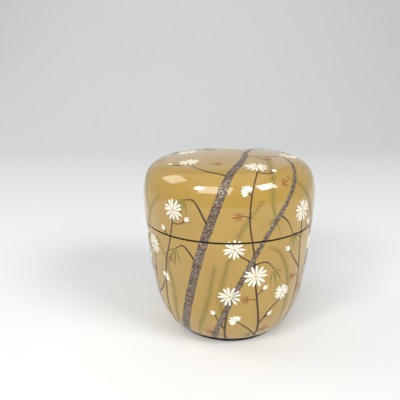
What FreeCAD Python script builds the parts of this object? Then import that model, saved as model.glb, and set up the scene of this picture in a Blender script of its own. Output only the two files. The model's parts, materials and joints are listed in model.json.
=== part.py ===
import FreeCAD, Part
import os
from math import sqrt

# A natsume: a small round lidded caddy for powdered tea, turned in wood and lacquered.
# Millimetres. The origin is the centre of the base, on the surface that the caddy stands on, and +Z is up.
# Every piece is a half section in the X-Z plane, drawn edge by edge and spun about the Z axis.

# Outer form, as it is finished. The widest line lies on the lid.
caddy_height = 69.0
lid_radius = 33.0
widest_drop = 15.1            # from the top of the dome down to the widest line
seam_drop = 9.5               # from the widest line down to the seam
dome_radius = 150.0
shoulder_radius = 8.8
upper_side_radius = 24.0      # from the shoulder down to the widest line
side_radius = 229.0           # from the widest line down over the seam to the belly
lid_overhang = 0.17           # the lid's rim stands this much proud of the body
belly_height = 17.0           # where the side turns into the belly
belly_radius = 35.0
foot_turn_radius = 4.0        # the closer turn that brings the belly in to the foot

# Coats of lacquer.
tan_coat = 0.35
black_coat = 0.3
rim_band = 0.2                # black edge that shows on each side of the seam
lid_arris = 0.45              # eased lower edge of the lid
body_arris = 0.3              # eased upper edge of the body

# Inside of the lid.
lid_wall = 2.3                # at the rim, coats included
lid_top = 2.8                 # at the middle of the dome, coats included
lid_corner_radius = 9.0
mouth_arris = 0.25            # eased inner edge, which guides the lid over the lip

# Lip that rises from the body into the lid.
lip_clearance = 0.15
lip_wall = 1.4                # coats included
lip_height = 8.5              # above the ledge that the lid rests on
lip_arris = 0.45              # eased edges along the top of the lip

# Tea chamber.
floor_height = 5.0
chamber_side_radius = 148.0
chamber_corner_radius = 14.0

# Foot.
foot_height = 2.1             # black ring that shows under the belly
foot_setback = 0.15           # the ring stands this much inside the end of the belly
foot_edge = 0.15
foot_ring_width = 2.6
recess_slope = 1.0            # height and width of the slope up from the ring to the hollow
recess_rise = 0.3             # the hollow rises this much more towards the middle


def point(r, z):
    return FreeCAD.Vector(r, 0, z)


def beyond(start, through, distance):
    """The point at a distance from start, on the way through another point."""
    return start + (through - start).normalize() * distance


def on_arc(centre, radius, z):
    """The outer point of a circle at a height."""
    return point(centre.x + sqrt(radius**2 - (z - centre.z)**2), z)


def centre_at_height(centre, radius, small_radius, z):
    """The centre, at a height, of a small arc that runs smoothly into a large one from inside."""
    return on_arc(centre, radius - small_radius, z)


def centre_at_reach(centre, radius, small_radius, r):
    """The same, for a centre at a distance r from the axis."""
    return point(r, centre.z + sqrt((radius - small_radius)**2 - (r - centre.x)**2))


def centre_between(first, first_radius, second, second_radius, small_radius):
    """The centre of a small arc that runs smoothly into two large ones from inside."""
    near = first_radius - small_radius
    far = second_radius - small_radius
    span = second - first
    along = (near**2 - far**2 + span.Length**2) / (2 * span.Length)
    across = sqrt(near**2 - along**2)
    ahead = FreeCAD.Vector(span).normalize()
    return first + ahead * along + FreeCAD.Vector(ahead.z, 0, -ahead.x) * across


class Section:
    """A closed half section, drawn edge by edge."""

    def __init__(self, start):
        self.start = start
        self.here = start
        self.edges = []

    def line(self, end):
        self.edges.append(Part.LineSegment(self.here, end).toShape())
        self.here = end

    def arc(self, centre, end):
        radius = (end - centre).Length
        middle = beyond(centre, (self.here + end) / 2, radius)
        self.edges.append(Part.Arc(self.here, middle, end).toShape())
        self.here = end

    def spin(self):
        if not self.here.isEqual(self.start, Part.Precision.confusion()):
            self.line(self.start)
        face = Part.Face(Part.Wire(self.edges))
        return face.revolve(point(0, 0), FreeCAD.Vector(0, 0, 1), 360)


# Directions along an edge eased at 45 degrees, by its height.
down_and_in = point(-1, -1)
up_and_in = point(-1, 1)

# Places that follow from the sizes above.
widest_height = caddy_height - widest_drop
seam_height = widest_height - seam_drop
lip_top = seam_height + lip_height

# Arc centres of the outer form.
dome_centre = point(0, caddy_height - dome_radius)
upper_side_centre = point(lid_radius - upper_side_radius, widest_height)
side_centre = point(lid_radius - side_radius, widest_height)
shoulder_centre = centre_between(
    dome_centre, dome_radius, upper_side_centre, upper_side_radius, shoulder_radius)
body_side_radius = side_radius - lid_overhang
belly_start = on_arc(side_centre, body_side_radius, belly_height)
belly_centre = beyond(belly_start, side_centre, belly_radius)
foot_turn_centre = centre_at_height(
    belly_centre, belly_radius, foot_turn_radius, foot_height + foot_turn_radius)
belly_end = point(foot_turn_centre.x, foot_height)
lid_arris_top = on_arc(side_centre, side_radius, seam_height + lid_arris)
body_arris_foot = on_arc(side_centre, body_side_radius, seam_height - body_arris)

# Inside of the lid: a straight mouth, a round corner and a domed ceiling.
mouth_radius = on_arc(side_centre, side_radius, seam_height).x - lid_wall
ceiling_radius = dome_radius - lid_top
lid_corner_centre = centre_at_reach(
    dome_centre, ceiling_radius, lid_corner_radius, mouth_radius - lid_corner_radius)

# Lip and chamber: straight down from the lip, then drawn in to a round corner and a flat floor.
lip_outer_radius = mouth_radius - lip_clearance
lip_inner_radius = lip_outer_radius - lip_wall
chamber_side_centre = point(lip_inner_radius - chamber_side_radius, seam_height)
chamber_corner_centre = centre_at_height(
    chamber_side_centre, chamber_side_radius, chamber_corner_radius,
    floor_height + chamber_corner_radius)

# Foot ring and the shallow hollow inside it.
foot_radius = belly_end.x - foot_setback
ring_inner_radius = foot_radius - foot_ring_width
recess_middle = recess_slope + recess_rise
recess_edge = point(ring_inner_radius - recess_slope, recess_slope)
hollow_radius = (recess_edge.x**2 + recess_rise**2) / (2 * recess_rise)
hollow_centre = point(0, recess_middle - hollow_radius)


def trace_lid_outside(section, depth):
    """From the top of the dome out and down to the widest line, at a depth below the finish."""
    section.arc(dome_centre, beyond(dome_centre, shoulder_centre, dome_radius - depth))
    section.arc(shoulder_centre, beyond(upper_side_centre, shoulder_centre, upper_side_radius - depth))
    section.arc(upper_side_centre, point(lid_radius - depth, widest_height))


def trace_lid_inside(section, depth):
    """From the mouth up and in to the middle of the ceiling, at a depth into the wall."""
    wall = mouth_radius + depth
    section.line(point(wall, lid_corner_centre.z))
    section.arc(lid_corner_centre, beyond(dome_centre, lid_corner_centre, ceiling_radius + depth))
    section.arc(dome_centre, point(0, dome_centre.z + ceiling_radius + depth))


def trace_body_outside(section, depth):
    """From below the seam down to the end of the belly, at a depth below the finish."""
    section.arc(side_centre, beyond(side_centre, belly_centre, body_side_radius - depth))
    section.arc(belly_centre, beyond(belly_centre, foot_turn_centre, belly_radius - depth))
    section.arc(foot_turn_centre, beyond(foot_turn_centre, belly_end, foot_turn_radius - depth))


def lip_corners(depth):
    """The four corners along the top of the lip, from inside to outside, at a depth into the lip.

    An edge at 45 degrees gets shorter as it is set further in.
    """
    inner = lip_inner_radius + depth
    outer = lip_outer_radius - depth
    top = lip_top - depth
    arris = lip_arris - (2 - sqrt(2)) * depth
    return [point(inner, top - arris), point(inner + arris, top),
            point(outer - arris, top), point(outer, top - arris)]


def trace_chamber(section, depth):
    """From the middle of the floor out and up to the ledge's height, at a depth into the wall."""
    side_reach = chamber_side_radius + depth
    section.line(point(chamber_corner_centre.x, floor_height - depth))
    section.arc(chamber_corner_centre, beyond(chamber_side_centre, chamber_corner_centre, side_reach))
    section.arc(chamber_side_centre, point(lip_inner_radius + depth, seam_height))


def trace_chamber_back(section, depth):
    """The same way in reverse, from the ledge's height down to the middle of the floor."""
    side_reach = chamber_side_radius + depth
    section.line(point(lip_inner_radius + depth, seam_height))
    section.arc(chamber_side_centre, beyond(chamber_side_centre, chamber_corner_centre, side_reach))
    section.arc(chamber_corner_centre, point(chamber_corner_centre.x, floor_height - depth))
    section.line(point(0, floor_height - depth))


def trace_underside(section):
    """The wood's underside, from the end of the belly over its foot ring in to the middle."""
    slope_start = ring_inner_radius + (sqrt(2) - 1) * black_coat
    section.line(point(foot_radius - black_coat, foot_height + black_coat))
    section.line(point(foot_radius - black_coat, black_coat))
    section.line(point(slope_start, black_coat))
    section.line(beyond(hollow_centre, recess_edge, hollow_radius + black_coat))
    section.arc(hollow_centre, point(0, recess_middle + black_coat))


def lid_core():
    """Turned wood: even walls between the two coats, ending a coat's thickness above the seam."""
    rim = seam_height + rim_band
    section = Section(point(0, caddy_height - tan_coat))
    trace_lid_outside(section, tan_coat)
    section.arc(side_centre, on_arc(side_centre, side_radius - tan_coat, rim))
    section.line(point(mouth_radius + black_coat, rim))
    trace_lid_inside(section, black_coat)
    return section.spin()


def lid_outer_lacquer():
    """The tan coat over the dome and sides, which turns under a little at the eased lower edge."""
    edge = seam_height + rim_band
    section = Section(point(0, caddy_height))
    trace_lid_outside(section, 0)
    section.arc(side_centre, lid_arris_top)
    section.line(lid_arris_top + down_and_in * (lid_arris - rim_band))
    section.line(on_arc(side_centre, side_radius - tan_coat, edge))
    section.arc(side_centre, point(lid_radius - tan_coat, widest_height))
    section.arc(upper_side_centre, beyond(upper_side_centre, shoulder_centre, upper_side_radius - tan_coat))
    section.arc(shoulder_centre, beyond(dome_centre, shoulder_centre, dome_radius - tan_coat))
    section.arc(dome_centre, point(0, caddy_height - tan_coat))
    return section.spin()


def lid_inner_lacquer():
    """The black coat: ceiling, mouth and the whole rim that rests on the body's ledge."""
    edge = seam_height + rim_band
    wall = mouth_radius + black_coat
    corner_reach = ceiling_radius + black_coat
    section = Section(point(mouth_radius, seam_height + mouth_arris))
    trace_lid_inside(section, 0)
    section.line(point(0, dome_centre.z + corner_reach))
    section.arc(dome_centre, beyond(dome_centre, lid_corner_centre, corner_reach))
    section.arc(lid_corner_centre, point(wall, lid_corner_centre.z))
    section.line(point(wall, edge))
    section.line(lid_arris_top + down_and_in * (lid_arris - rim_band))
    section.line(lid_arris_top + down_and_in * lid_arris)
    section.line(point(mouth_radius + mouth_arris, seam_height))
    return section.spin()


def body_core():
    """Turned wood: the walls, the floor and the thin lip, in one piece."""
    ledge = seam_height - rim_band
    section = Section(point(0, floor_height - black_coat))
    trace_chamber(section, black_coat)
    for corner in lip_corners(black_coat):
        section.line(corner)
    section.line(point(lip_outer_radius - black_coat, ledge))
    section.line(on_arc(side_centre, body_side_radius - tan_coat, ledge))
    trace_body_outside(section, tan_coat)
    trace_underside(section)
    return section.spin()


def body_outer_lacquer():
    """The tan coat from the eased upper edge down to where the belly turns under."""
    edge = seam_height - rim_band
    section = Section(body_arris_foot + up_and_in * (body_arris - rim_band))
    section.line(body_arris_foot)
    trace_body_outside(section, 0)
    section.line(beyond(foot_turn_centre, belly_end, foot_turn_radius - tan_coat))
    section.arc(foot_turn_centre, beyond(belly_centre, foot_turn_centre, belly_radius - tan_coat))
    section.arc(belly_centre, beyond(side_centre, belly_centre, body_side_radius - tan_coat))
    section.arc(side_centre, on_arc(side_centre, body_side_radius - tan_coat, edge))
    return section.spin()


def body_inner_lacquer():
    """The black coat: chamber, both sides of the lip, and the ledge out to its eased edge."""
    edge = seam_height - rim_band
    section = Section(point(0, floor_height))
    trace_chamber(section, 0)
    for corner in lip_corners(0):
        section.line(corner)
    section.line(point(lip_outer_radius, seam_height))
    section.line(body_arris_foot + up_and_in * body_arris)
    section.line(body_arris_foot + up_and_in * (body_arris - rim_band))
    section.line(point(lip_outer_radius - black_coat, edge))
    for corner in reversed(lip_corners(black_coat)):
        section.line(corner)
    trace_chamber_back(section, black_coat)
    return section.spin()


def foot_lacquer():
    """The black coat over the foot: the ring's outside, its flat to stand on and the hollow inside it."""
    section = Section(point(0, recess_middle))
    section.arc(hollow_centre, recess_edge)
    section.line(point(ring_inner_radius, 0))
    section.line(point(foot_radius - foot_edge, 0))
    section.line(point(foot_radius, foot_edge))
    section.line(point(foot_radius, foot_height))
    section.line(belly_end)
    section.line(beyond(foot_turn_centre, belly_end, foot_turn_radius - tan_coat))
    trace_underside(section)
    return section.spin()


pieces = {
    "lid_core": lid_core,
    "lid_outer_lacquer": lid_outer_lacquer,
    "lid_inner_lacquer": lid_inner_lacquer,
    "body_core": body_core,
    "body_outer_lacquer": body_outer_lacquer,
    "body_inner_lacquer": body_inner_lacquer,
    "foot_lacquer": foot_lacquer,
}

os.makedirs("parts", exist_ok=True)
for name, make in pieces.items():
    shape = make()
    shape.exportStep("parts/" + name + ".step")
    box = shape.optimalBoundingBox()
    print(name, "valid", shape.isValid(), "solids", len(shape.Solids), "volume %.1f" % shape.Volume,
          "radius %.2f" % box.XMax, "from z %.2f to %.2f" % (box.ZMin, box.ZMax))
print("seam at %.2f, mouth radius %.2f, lip from %.2f to %.2f, foot radius %.2f"
      % (seam_height, mouth_radius, lip_inner_radius, lip_outer_radius, foot_radius))
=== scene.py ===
# %% [markdown]
# A natsume is a small lidded caddy for powdered tea. It is turned in thin wood and lacquered, tan outside
# and black inside, and decorated with raised work in coloured and powdered lacquer. This lesson dresses
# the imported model: it turns smooth coats, lays the decoration on them and lights the result.
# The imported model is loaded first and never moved, so every coat and every brush stroke is placed from it.

# %% Load the frame
import bmesh
import bpy
import json
import math
import numpy as np
from mathutils import Matrix, Vector

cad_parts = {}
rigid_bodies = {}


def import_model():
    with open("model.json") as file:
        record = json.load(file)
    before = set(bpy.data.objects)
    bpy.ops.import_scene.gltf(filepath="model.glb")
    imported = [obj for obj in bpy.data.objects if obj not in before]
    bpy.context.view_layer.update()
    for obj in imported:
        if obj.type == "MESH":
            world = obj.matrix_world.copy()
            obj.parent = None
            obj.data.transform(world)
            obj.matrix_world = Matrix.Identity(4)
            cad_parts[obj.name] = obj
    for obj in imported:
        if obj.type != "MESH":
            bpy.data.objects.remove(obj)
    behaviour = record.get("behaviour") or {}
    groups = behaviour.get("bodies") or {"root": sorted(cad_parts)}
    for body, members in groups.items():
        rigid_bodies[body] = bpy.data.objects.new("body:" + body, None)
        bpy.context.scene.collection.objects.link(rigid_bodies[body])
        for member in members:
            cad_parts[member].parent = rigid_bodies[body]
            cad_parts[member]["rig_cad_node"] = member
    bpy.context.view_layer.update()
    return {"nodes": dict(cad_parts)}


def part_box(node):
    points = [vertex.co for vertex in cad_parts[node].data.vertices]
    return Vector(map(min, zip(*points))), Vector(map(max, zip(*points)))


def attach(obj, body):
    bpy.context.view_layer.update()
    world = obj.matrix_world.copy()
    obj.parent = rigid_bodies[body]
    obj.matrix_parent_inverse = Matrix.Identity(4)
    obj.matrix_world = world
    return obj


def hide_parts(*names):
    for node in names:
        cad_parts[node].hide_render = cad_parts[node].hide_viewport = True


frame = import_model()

# %% [markdown]
# Three small helpers serve every step. Colours are written as a painter's hex values and turned to the
# linear values that the shaders mix. One function adds a node to a tree, with each input given as a value
# or as the output that feeds it, and hands back the new node's output. Shader trees and geometry trees
# then read alike, from the first texture to the last surface.

# %% Helpers for colours, nodes and objects
mm = 0.001

# Settings that many nodes share, and the range that most of a noise's values lie in.
in_colour = {"data_type": "RGBA"}
as_number = {"data_type": "FLOAT"}
as_vector = {"data_type": "FLOAT_VECTOR"}
on_points = {"data_type": "FLOAT", "domain": "POINT"}
noise_range = {"From Min": 0.3, "From Max": 0.7}


def linear(code):
    """An sRGB hex colour as linear red, green, blue and alpha."""
    parts = [int(code[i:i + 2], 16) / 255 for i in (0, 2, 4)]
    return tuple(c / 12.92 if c <= 0.04045 else ((c + 0.055) / 1.055)**2.4 for c in parts) + (1.0,)


def add(tree, kind, inputs=None, settings=None, take=0):
    """Adds one node and returns one of its outputs. An input is a value or another node's output."""
    node = tree.nodes.new(kind)
    for name, value in (settings or {}).items():
        setattr(node, name, value)
    for name, value in (inputs or {}).items():
        sockets = [s for s in node.inputs if s.enabled]
        socket = sockets[name] if isinstance(name, int) else [s for s in sockets if s.name == name][0]
        if isinstance(value, bpy.types.NodeSocket):
            tree.links.new(value, socket)
        else:
            socket.default_value = value
    outputs = [s for s in node.outputs if s.enabled]
    return {s.name if isinstance(take, str) else k: s for k, s in enumerate(outputs)}.get(take)


def link_object(name, data):
    """A new object at the origin, in the scene."""
    made = bpy.data.objects.new(name, data)
    bpy.context.scene.collection.objects.link(made)
    return made


# %% [markdown]
# The camera stands where the photograph was taken: close to the caddy, a little above it and a little to
# its left. Distance, height, tilt and lens come from fitting the outline, the seam and the foot as circles
# seen in perspective, with the caddy's width taken as 66 mm. The near clip is short because the camera
# stands only a hand's width away.

# %% Camera
camera_place = Vector((-11.1, -149.9, 92.9)) * mm
camera_down = math.radians(16.0)
camera_roll = math.radians(-0.99)

camera = link_object("camera", bpy.data.cameras.new("camera"))
camera.data.sensor_width = 36.0
camera.data.lens = 35.3
camera.data.clip_start = 10 * mm
level = Matrix.Rotation(math.radians(90) - camera_down, 4, "X")
camera.matrix_world = Matrix.Translation(camera_place) @ level @ Matrix.Rotation(camera_roll, 4, "Z")
bpy.context.scene.camera = camera
print("camera at", tuple(round(c, 4) for c in camera_place),
      "looking down", round(math.degrees(camera_down), 1))

# %% [markdown]
# The outer form is a chain of arcs that run smoothly into each other: a nearly flat dome, a tight shoulder,
# a fuller arc to the widest line, one long arc down the side across the seam, the round belly and the
# closer turn in to the foot. The same radii made the solids. They are drawn again here because gloss shows
# every flat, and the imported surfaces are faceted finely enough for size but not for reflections.

# %% Radii of the caddy's form
caddy_height = 69.0 * mm
lid_radius = 33.0 * mm
widest_height = 53.9 * mm
seam_height = 44.4 * mm
dome_radius = 150.0 * mm
shoulder_radius = 8.8 * mm
upper_side_radius = 24.0 * mm
side_radius = 229.0 * mm
lid_overhang = 0.17 * mm
belly_height = 17.0 * mm
belly_radius = 35.0 * mm
foot_turn_radius = 4.0 * mm
foot_height = 2.1 * mm
tan_coat = 0.35 * mm
black_coat = 0.3 * mm
rim_band = 0.2 * mm
lid_arris = 0.45 * mm
body_arris = 0.3 * mm
lip_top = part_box("body_inner_lacquer")[1].z

# %% [markdown]
# A turned piece is one half section spun about the axis. A section is drawn here with lines and arcs, as a
# list of points that are complex numbers: the real part is the distance from the axis and the imaginary
# part is the height. Turning an arc is then one multiplication. Points along an arc are close enough that
# neither the outline nor a highlight shows a corner.

# %% Draw a half section
chord = 0.7 * mm
finest_turn = math.radians(7)
most_chords = 60


def at(reach, height):
    """A point of a half section, at a distance from the axis and a height."""
    return complex(reach, height)


def beyond(start, through, distance):
    """The point at a distance from start, on the way through another point."""
    return start + (through - start) / abs(through - start) * distance


def on_arc(centre, radius, height):
    """The outer point of a circle at a height."""
    return at(centre.real + math.sqrt(radius**2 - (height - centre.imag)**2), height)


def centre_between(first, first_radius, second, second_radius, radius):
    """The centre of a small arc that runs smoothly into two large ones from inside."""
    near = first_radius - radius
    far = second_radius - radius
    span = second - first
    along = (near**2 - far**2 + abs(span)**2) / (2 * abs(span))
    across = math.sqrt(near**2 - along**2)
    return first + span / abs(span) * complex(along, -across)


def arc(centre, start, end):
    """Points from start to end about a centre, without the start."""
    turn = (end - centre) / (start - centre)
    angle = math.atan2(turn.imag, turn.real)
    chords = min(abs(angle * (end - centre)) / chord, most_chords)
    steps = math.ceil(max(chords, abs(angle) / finest_turn))
    return [centre + (start - centre) * turn**(k / steps) for k in range(1, steps + 1)]


def follow(start, *moves):
    """A path of lines and arcs. Each move is a point, or a centre and a point for an arc."""
    path = [start]
    for move in moves:
        path += arc(move[0], path[-1], move[1]) if isinstance(move, tuple) else [move]
    return path


dome_centre = at(0, caddy_height - dome_radius)
upper_side_centre = at(lid_radius - upper_side_radius, widest_height)
side_centre = at(lid_radius - side_radius, widest_height)
shoulder_centre = centre_between(
    dome_centre, dome_radius, upper_side_centre, upper_side_radius, shoulder_radius)
body_side_radius = side_radius - lid_overhang
belly_start = on_arc(side_centre, body_side_radius, belly_height)
belly_centre = beyond(belly_start, side_centre, belly_radius)
foot_turn_centre = on_arc(belly_centre, belly_radius - foot_turn_radius, foot_height + foot_turn_radius)


def lid_form(depth):
    """The lid's surface from the middle of the dome to the widest line, at a depth below the finish."""
    return follow(
        at(0, caddy_height - depth),
        (dome_centre, beyond(dome_centre, shoulder_centre, dome_radius - depth)),
        (shoulder_centre, beyond(upper_side_centre, shoulder_centre, upper_side_radius - depth)),
        (upper_side_centre, at(lid_radius - depth, widest_height)))


def body_form(start, depth):
    """The body's surface from a point on its side to the end of the belly, at a depth below the finish."""
    return follow(
        start,
        (side_centre, beyond(side_centre, belly_centre, body_side_radius - depth)),
        (belly_centre, beyond(belly_centre, foot_turn_centre, belly_radius - depth)),
        (foot_turn_centre, at(foot_turn_centre.real, foot_height + depth)))


# %% [markdown]
# The coats themselves. Where the solids have a plain 45 degree edge, the lacquer on a real caddy is
# rounded by polishing, and that round is what catches the thin bright line beside the black seam. So each
# arris gets a true round here, inside the solid's own edge. Tan ends where the round begins and black goes
# on round the rim, as a lacquerer leaves it. A black edge that turns under and out of sight looks thinner
# than it is, so both come a little further out here than in the solids. The wider band is partly real
# black rim and partly painted shade for the gap between lid and body.

# %% Sections of the tan coats
# The extra width of both black bands is painted shade for the gap between lid and body.
lid_black_band_and_shade = 2.1 * rim_band
body_black_band_and_shade = 1.45 * rim_band
lid_edge = seam_height + lid_black_band_and_shade
body_edge = seam_height - body_black_band_and_shade
lid_arris_centre = on_arc(side_centre, side_radius - lid_arris, seam_height + lid_arris)
body_arris_centre = on_arc(side_centre, body_side_radius - body_arris, seam_height - body_arris)
lid_arris_end = on_arc(lid_arris_centre, lid_arris, lid_edge)
body_arris_end = on_arc(body_arris_centre, body_arris, body_edge)

lid_tan_section = lid_form(0) + follow(
    at(lid_radius, widest_height),
    (side_centre, beyond(side_centre, lid_arris_centre, side_radius)),
    (lid_arris_centre, lid_arris_end),
    on_arc(side_centre, side_radius - tan_coat, lid_edge),
    (side_centre, at(lid_radius - tan_coat, widest_height)))[1:] + lid_form(tan_coat)[-2::-1]

body_tan_section = follow(
    on_arc(side_centre, body_side_radius - tan_coat, body_edge),
    body_arris_end,
    (body_arris_centre, beyond(side_centre, body_arris_centre, body_side_radius)))
body_tan_section += body_form(body_tan_section[-1], 0)[1:]
body_tan_section += body_form(body_tan_section[0], tan_coat)[:0:-1]
print("points in the tan sections", len(lid_tan_section), len(body_tan_section))

# %% [markdown]
# The lid's black coat lines the hollow, comes round the eased mouth and goes out to the tan at the rim.

# %% Section of the lid's black coat
lid_wall = 2.3 * mm
lid_top = 2.8 * mm
lid_corner = 9.0 * mm
mouth_arris = 0.25 * mm
mouth_radius = on_arc(side_centre, side_radius, seam_height).real - lid_wall
ceiling_radius = dome_radius - lid_top
lid_corner_reach = mouth_radius - lid_corner
lid_corner_centre = at(
    lid_corner_reach, dome_centre.imag + math.sqrt((ceiling_radius - lid_corner)**2 - lid_corner_reach**2))


def lid_hollow(depth):
    """The inside of the lid from the mouth to the middle of the ceiling, at a depth into the wall."""
    return follow(
        at(mouth_radius + depth, lid_corner_centre.imag),
        (lid_corner_centre, beyond(dome_centre, lid_corner_centre, ceiling_radius + depth)),
        (dome_centre, at(0, dome_centre.imag + ceiling_radius + depth)))


lid_black_section = lid_hollow(0)[::-1] + follow(
    at(mouth_radius, seam_height + mouth_arris),
    (at(mouth_radius + mouth_arris, seam_height + mouth_arris),
     at(mouth_radius + mouth_arris, seam_height)),
    at(lid_arris_centre.real, seam_height),
    (lid_arris_centre, lid_arris_end),
    at(mouth_radius + black_coat, lid_edge)) + lid_hollow(black_coat)
print("points in the lid's black section", len(lid_black_section))

# %% [markdown]
# The body's black coat covers the chamber, the lip that rises into the lid and the ledge that the lid
# rests on. The lip takes its place from the lid's mouth and a clearance.

# %% Section of the body's black coat
lip_clearance = 0.15 * mm
lip_wall = 1.4 * mm
floor_height = 5.0 * mm
chamber_side = 148.0 * mm
chamber_corner = 14.0 * mm
lip_outer = mouth_radius - lip_clearance
lip_inner = lip_outer - lip_wall
lip_crown = at(lip_outer - lip_wall / 2, lip_top - lip_wall / 2)
chamber_side_centre = at(lip_inner - chamber_side, seam_height)
chamber_corner_centre = on_arc(
    chamber_side_centre, chamber_side - chamber_corner, floor_height + chamber_corner)


def chamber_form(depth):
    """From the middle of the floor up the wall, over the round lip and down its outside."""
    side_reach = chamber_side + depth
    return follow(
        at(0, floor_height - depth),
        at(chamber_corner_centre.real, floor_height - depth),
        (chamber_corner_centre, beyond(chamber_side_centre, chamber_corner_centre, side_reach)),
        (chamber_side_centre, at(lip_inner + depth, seam_height)),
        at(lip_inner + depth, lip_crown.imag),
        (lip_crown, at(lip_crown.real, lip_top - depth)),
        (lip_crown, at(lip_outer - depth, lip_crown.imag)))


body_black_section = chamber_form(0) + follow(
    at(lip_outer, seam_height),
    at(body_arris_centre.real, seam_height),
    (body_arris_centre, body_arris_end),
    at(lip_outer - black_coat, body_edge)) + chamber_form(black_coat)[::-1]
print("points in the body's black section", len(body_black_section))

# %% [markdown]
# The foot's coat has the ring that the caddy stands on, with a shallow hollow inside it.

# %% Section of the foot's coat
foot_setback = 0.15 * mm
foot_edge = 0.15 * mm
foot_ring = 2.6 * mm
recess_slope = 1.0 * mm
recess_rise = 0.3 * mm
foot_radius = foot_turn_centre.real - foot_setback
ring_inner = foot_radius - foot_ring
recess_edge = at(ring_inner - recess_slope, recess_slope)
hollow_radius = (recess_edge.real**2 + recess_rise**2) / (2 * recess_rise)
hollow_centre = at(0, recess_slope + recess_rise - hollow_radius)
foot_section = follow(
    at(0, recess_slope + recess_rise),
    (hollow_centre, recess_edge),
    at(ring_inner, 0),
    at(foot_radius - foot_edge, 0),
    (at(foot_radius - foot_edge, foot_edge), at(foot_radius, foot_edge)),
    at(foot_radius, foot_height),
    at(foot_turn_centre.real, foot_height),
    at(foot_turn_centre.real, foot_height + tan_coat),
    at(foot_radius - black_coat, foot_height + black_coat),
    at(foot_radius - black_coat, black_coat),
    at(ring_inner + (math.sqrt(2) - 1) * black_coat, black_coat),
    beyond(hollow_centre, recess_edge, hollow_radius + black_coat),
    (hollow_centre, at(0, recess_slope + recess_rise + black_coat)))
print("points in the foot's section", len(foot_section))

# %% [markdown]
# A lathe spins a section, and that is a rule, so Geometry Nodes do it: the section becomes a curve, and it
# is swept round a circle so small that it is only a direction. Points on the axis then lie within a
# thousandth of a millimetre of it, and Merge by Distance closes the poles. A sweep takes its
# profile flat in X and Y and stands it up with Y pointing down, so heights go in with their sign turned.

# %% Lathe
turns = 360
axis_reach = 0.001 * mm
pole_gap = 0.004 * mm
off_axis = 1.0 * mm
sharp_angle = math.radians(40)


def new_tree(name, inputs):
    """An empty geometry tree with one geometry in, named inputs beside it and one geometry out."""
    tree = bpy.data.node_groups.new(name, "GeometryNodeTree")
    tree.interface.new_socket("Geometry", in_out="INPUT", socket_type="NodeSocketGeometry")
    for label, kind in inputs.items():
        tree.interface.new_socket(label, in_out="INPUT", socket_type="NodeSocket" + kind)
    tree.interface.new_socket("Geometry", in_out="OUTPUT", socket_type="NodeSocketGeometry")
    return tree, add(tree, "NodeGroupInput").node.outputs


def run(piece, tree, values):
    """Puts a tree on a piece, with its inputs set by their identifiers."""
    modifier = piece.modifiers.new(tree.name, "NODES")
    modifier.node_group = tree
    for item in tree.interface.items_tree:
        if item.in_out == "INPUT" and item.name in values:
            modifier[item.identifier] = values[item.name]
    return piece


lathe, given = new_tree("lathe", {"Turns": "Int", "Axis Reach": "Float", "Material": "Material"})
section_curve = add(lathe, "GeometryNodeMeshToCurve", {"Mesh": given["Geometry"]})
axis = add(lathe, "GeometryNodeCurvePrimitiveCircle",
           {"Resolution": given["Turns"], "Radius": given["Axis Reach"]})
upright = add(lathe, "GeometryNodeSetCurveNormal", {"Curve": axis}, {"mode": "Z_UP"})
swept = add(lathe, "GeometryNodeCurveToMesh", {"Curve": upright, "Profile Curve": section_curve})
closed = add(lathe, "GeometryNodeMergeByDistance", {"Geometry": swept, "Distance": pole_gap})
smooth = add(lathe, "GeometryNodeSetShadeSmooth", {"Geometry": closed})
real = add(lathe, "GeometryNodeRealizeInstances", {"Geometry": smooth})
painted = add(lathe, "GeometryNodeSetMaterial", {"Geometry": real, "Material": given["Material"]})
add(lathe, "NodeGroupOutput", {"Geometry": painted})


def settle(piece):
    """The evaluated piece as one plain mesh, its modifiers gone and its faces outward."""
    graph = bpy.context.evaluated_depsgraph_get()
    mesh = bpy.data.meshes.new_from_object(piece.evaluated_get(graph))
    shape = bmesh.new()
    shape.from_mesh(mesh)
    bmesh.ops.recalc_face_normals(shape, faces=shape.faces)
    shape.to_mesh(mesh)
    shape.free()
    return mesh


def spin(name, section, ring, **finish):
    """A mesh spun from a section on the lathe. A ring's section runs back to its own start."""
    outline = bpy.data.meshes.new(name)
    outline.from_pydata([(p.real - axis_reach, -p.imag, 0) for p in section],
                        [(k, (k + 1) % len(section)) for k in range(len(section) - (not ring))], [])
    blank = link_object(name + "_blank", outline)
    mesh = settle(run(blank, lathe, {"Turns": turns, "Axis Reach": axis_reach, **finish}))
    bpy.data.objects.remove(blank)
    return mesh


def turned(name, section, material, body, node):
    """A turned coat that stands for a node of the model and rides on its body."""
    ring = min(p.real for p in section) > off_axis
    piece = link_object(name, spin(name, section, ring, Material=material))
    piece.data.set_sharp_from_angle(angle=sharp_angle)
    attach(piece, body)
    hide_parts(node)
    low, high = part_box(node)
    size = np.array([v.co for v in piece.data.vertices])
    print(name, len(piece.data.polygons), "faces, off the solid's box by at most",
          round(float(max(abs(size.min(0) - low).max(), abs(size.max(0) - high).max())) / mm, 3), "mm")


# %% [markdown]
# Finishes. Every visible surface is a procedural material whose patterns are sized in real millimetres
# from the object's own coordinates. A polished lacquer is a colour coat under a clear gloss, so its light
# is two things: the soft colour below and a sharp mirror above. Small waves in the gloss bend the
# reflections a little, which is how the eye tells a hand-polished coat from plastic.

# %% Start and end a material
def start_material(name):
    """A new material, its empty tree and the object's own coordinates in it."""
    material = bpy.data.materials.new(name)
    material.use_nodes = True
    tree = material.node_tree
    tree.nodes.clear()
    return material, tree, add(tree, "ShaderNodeTexCoord", take="Object")


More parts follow.
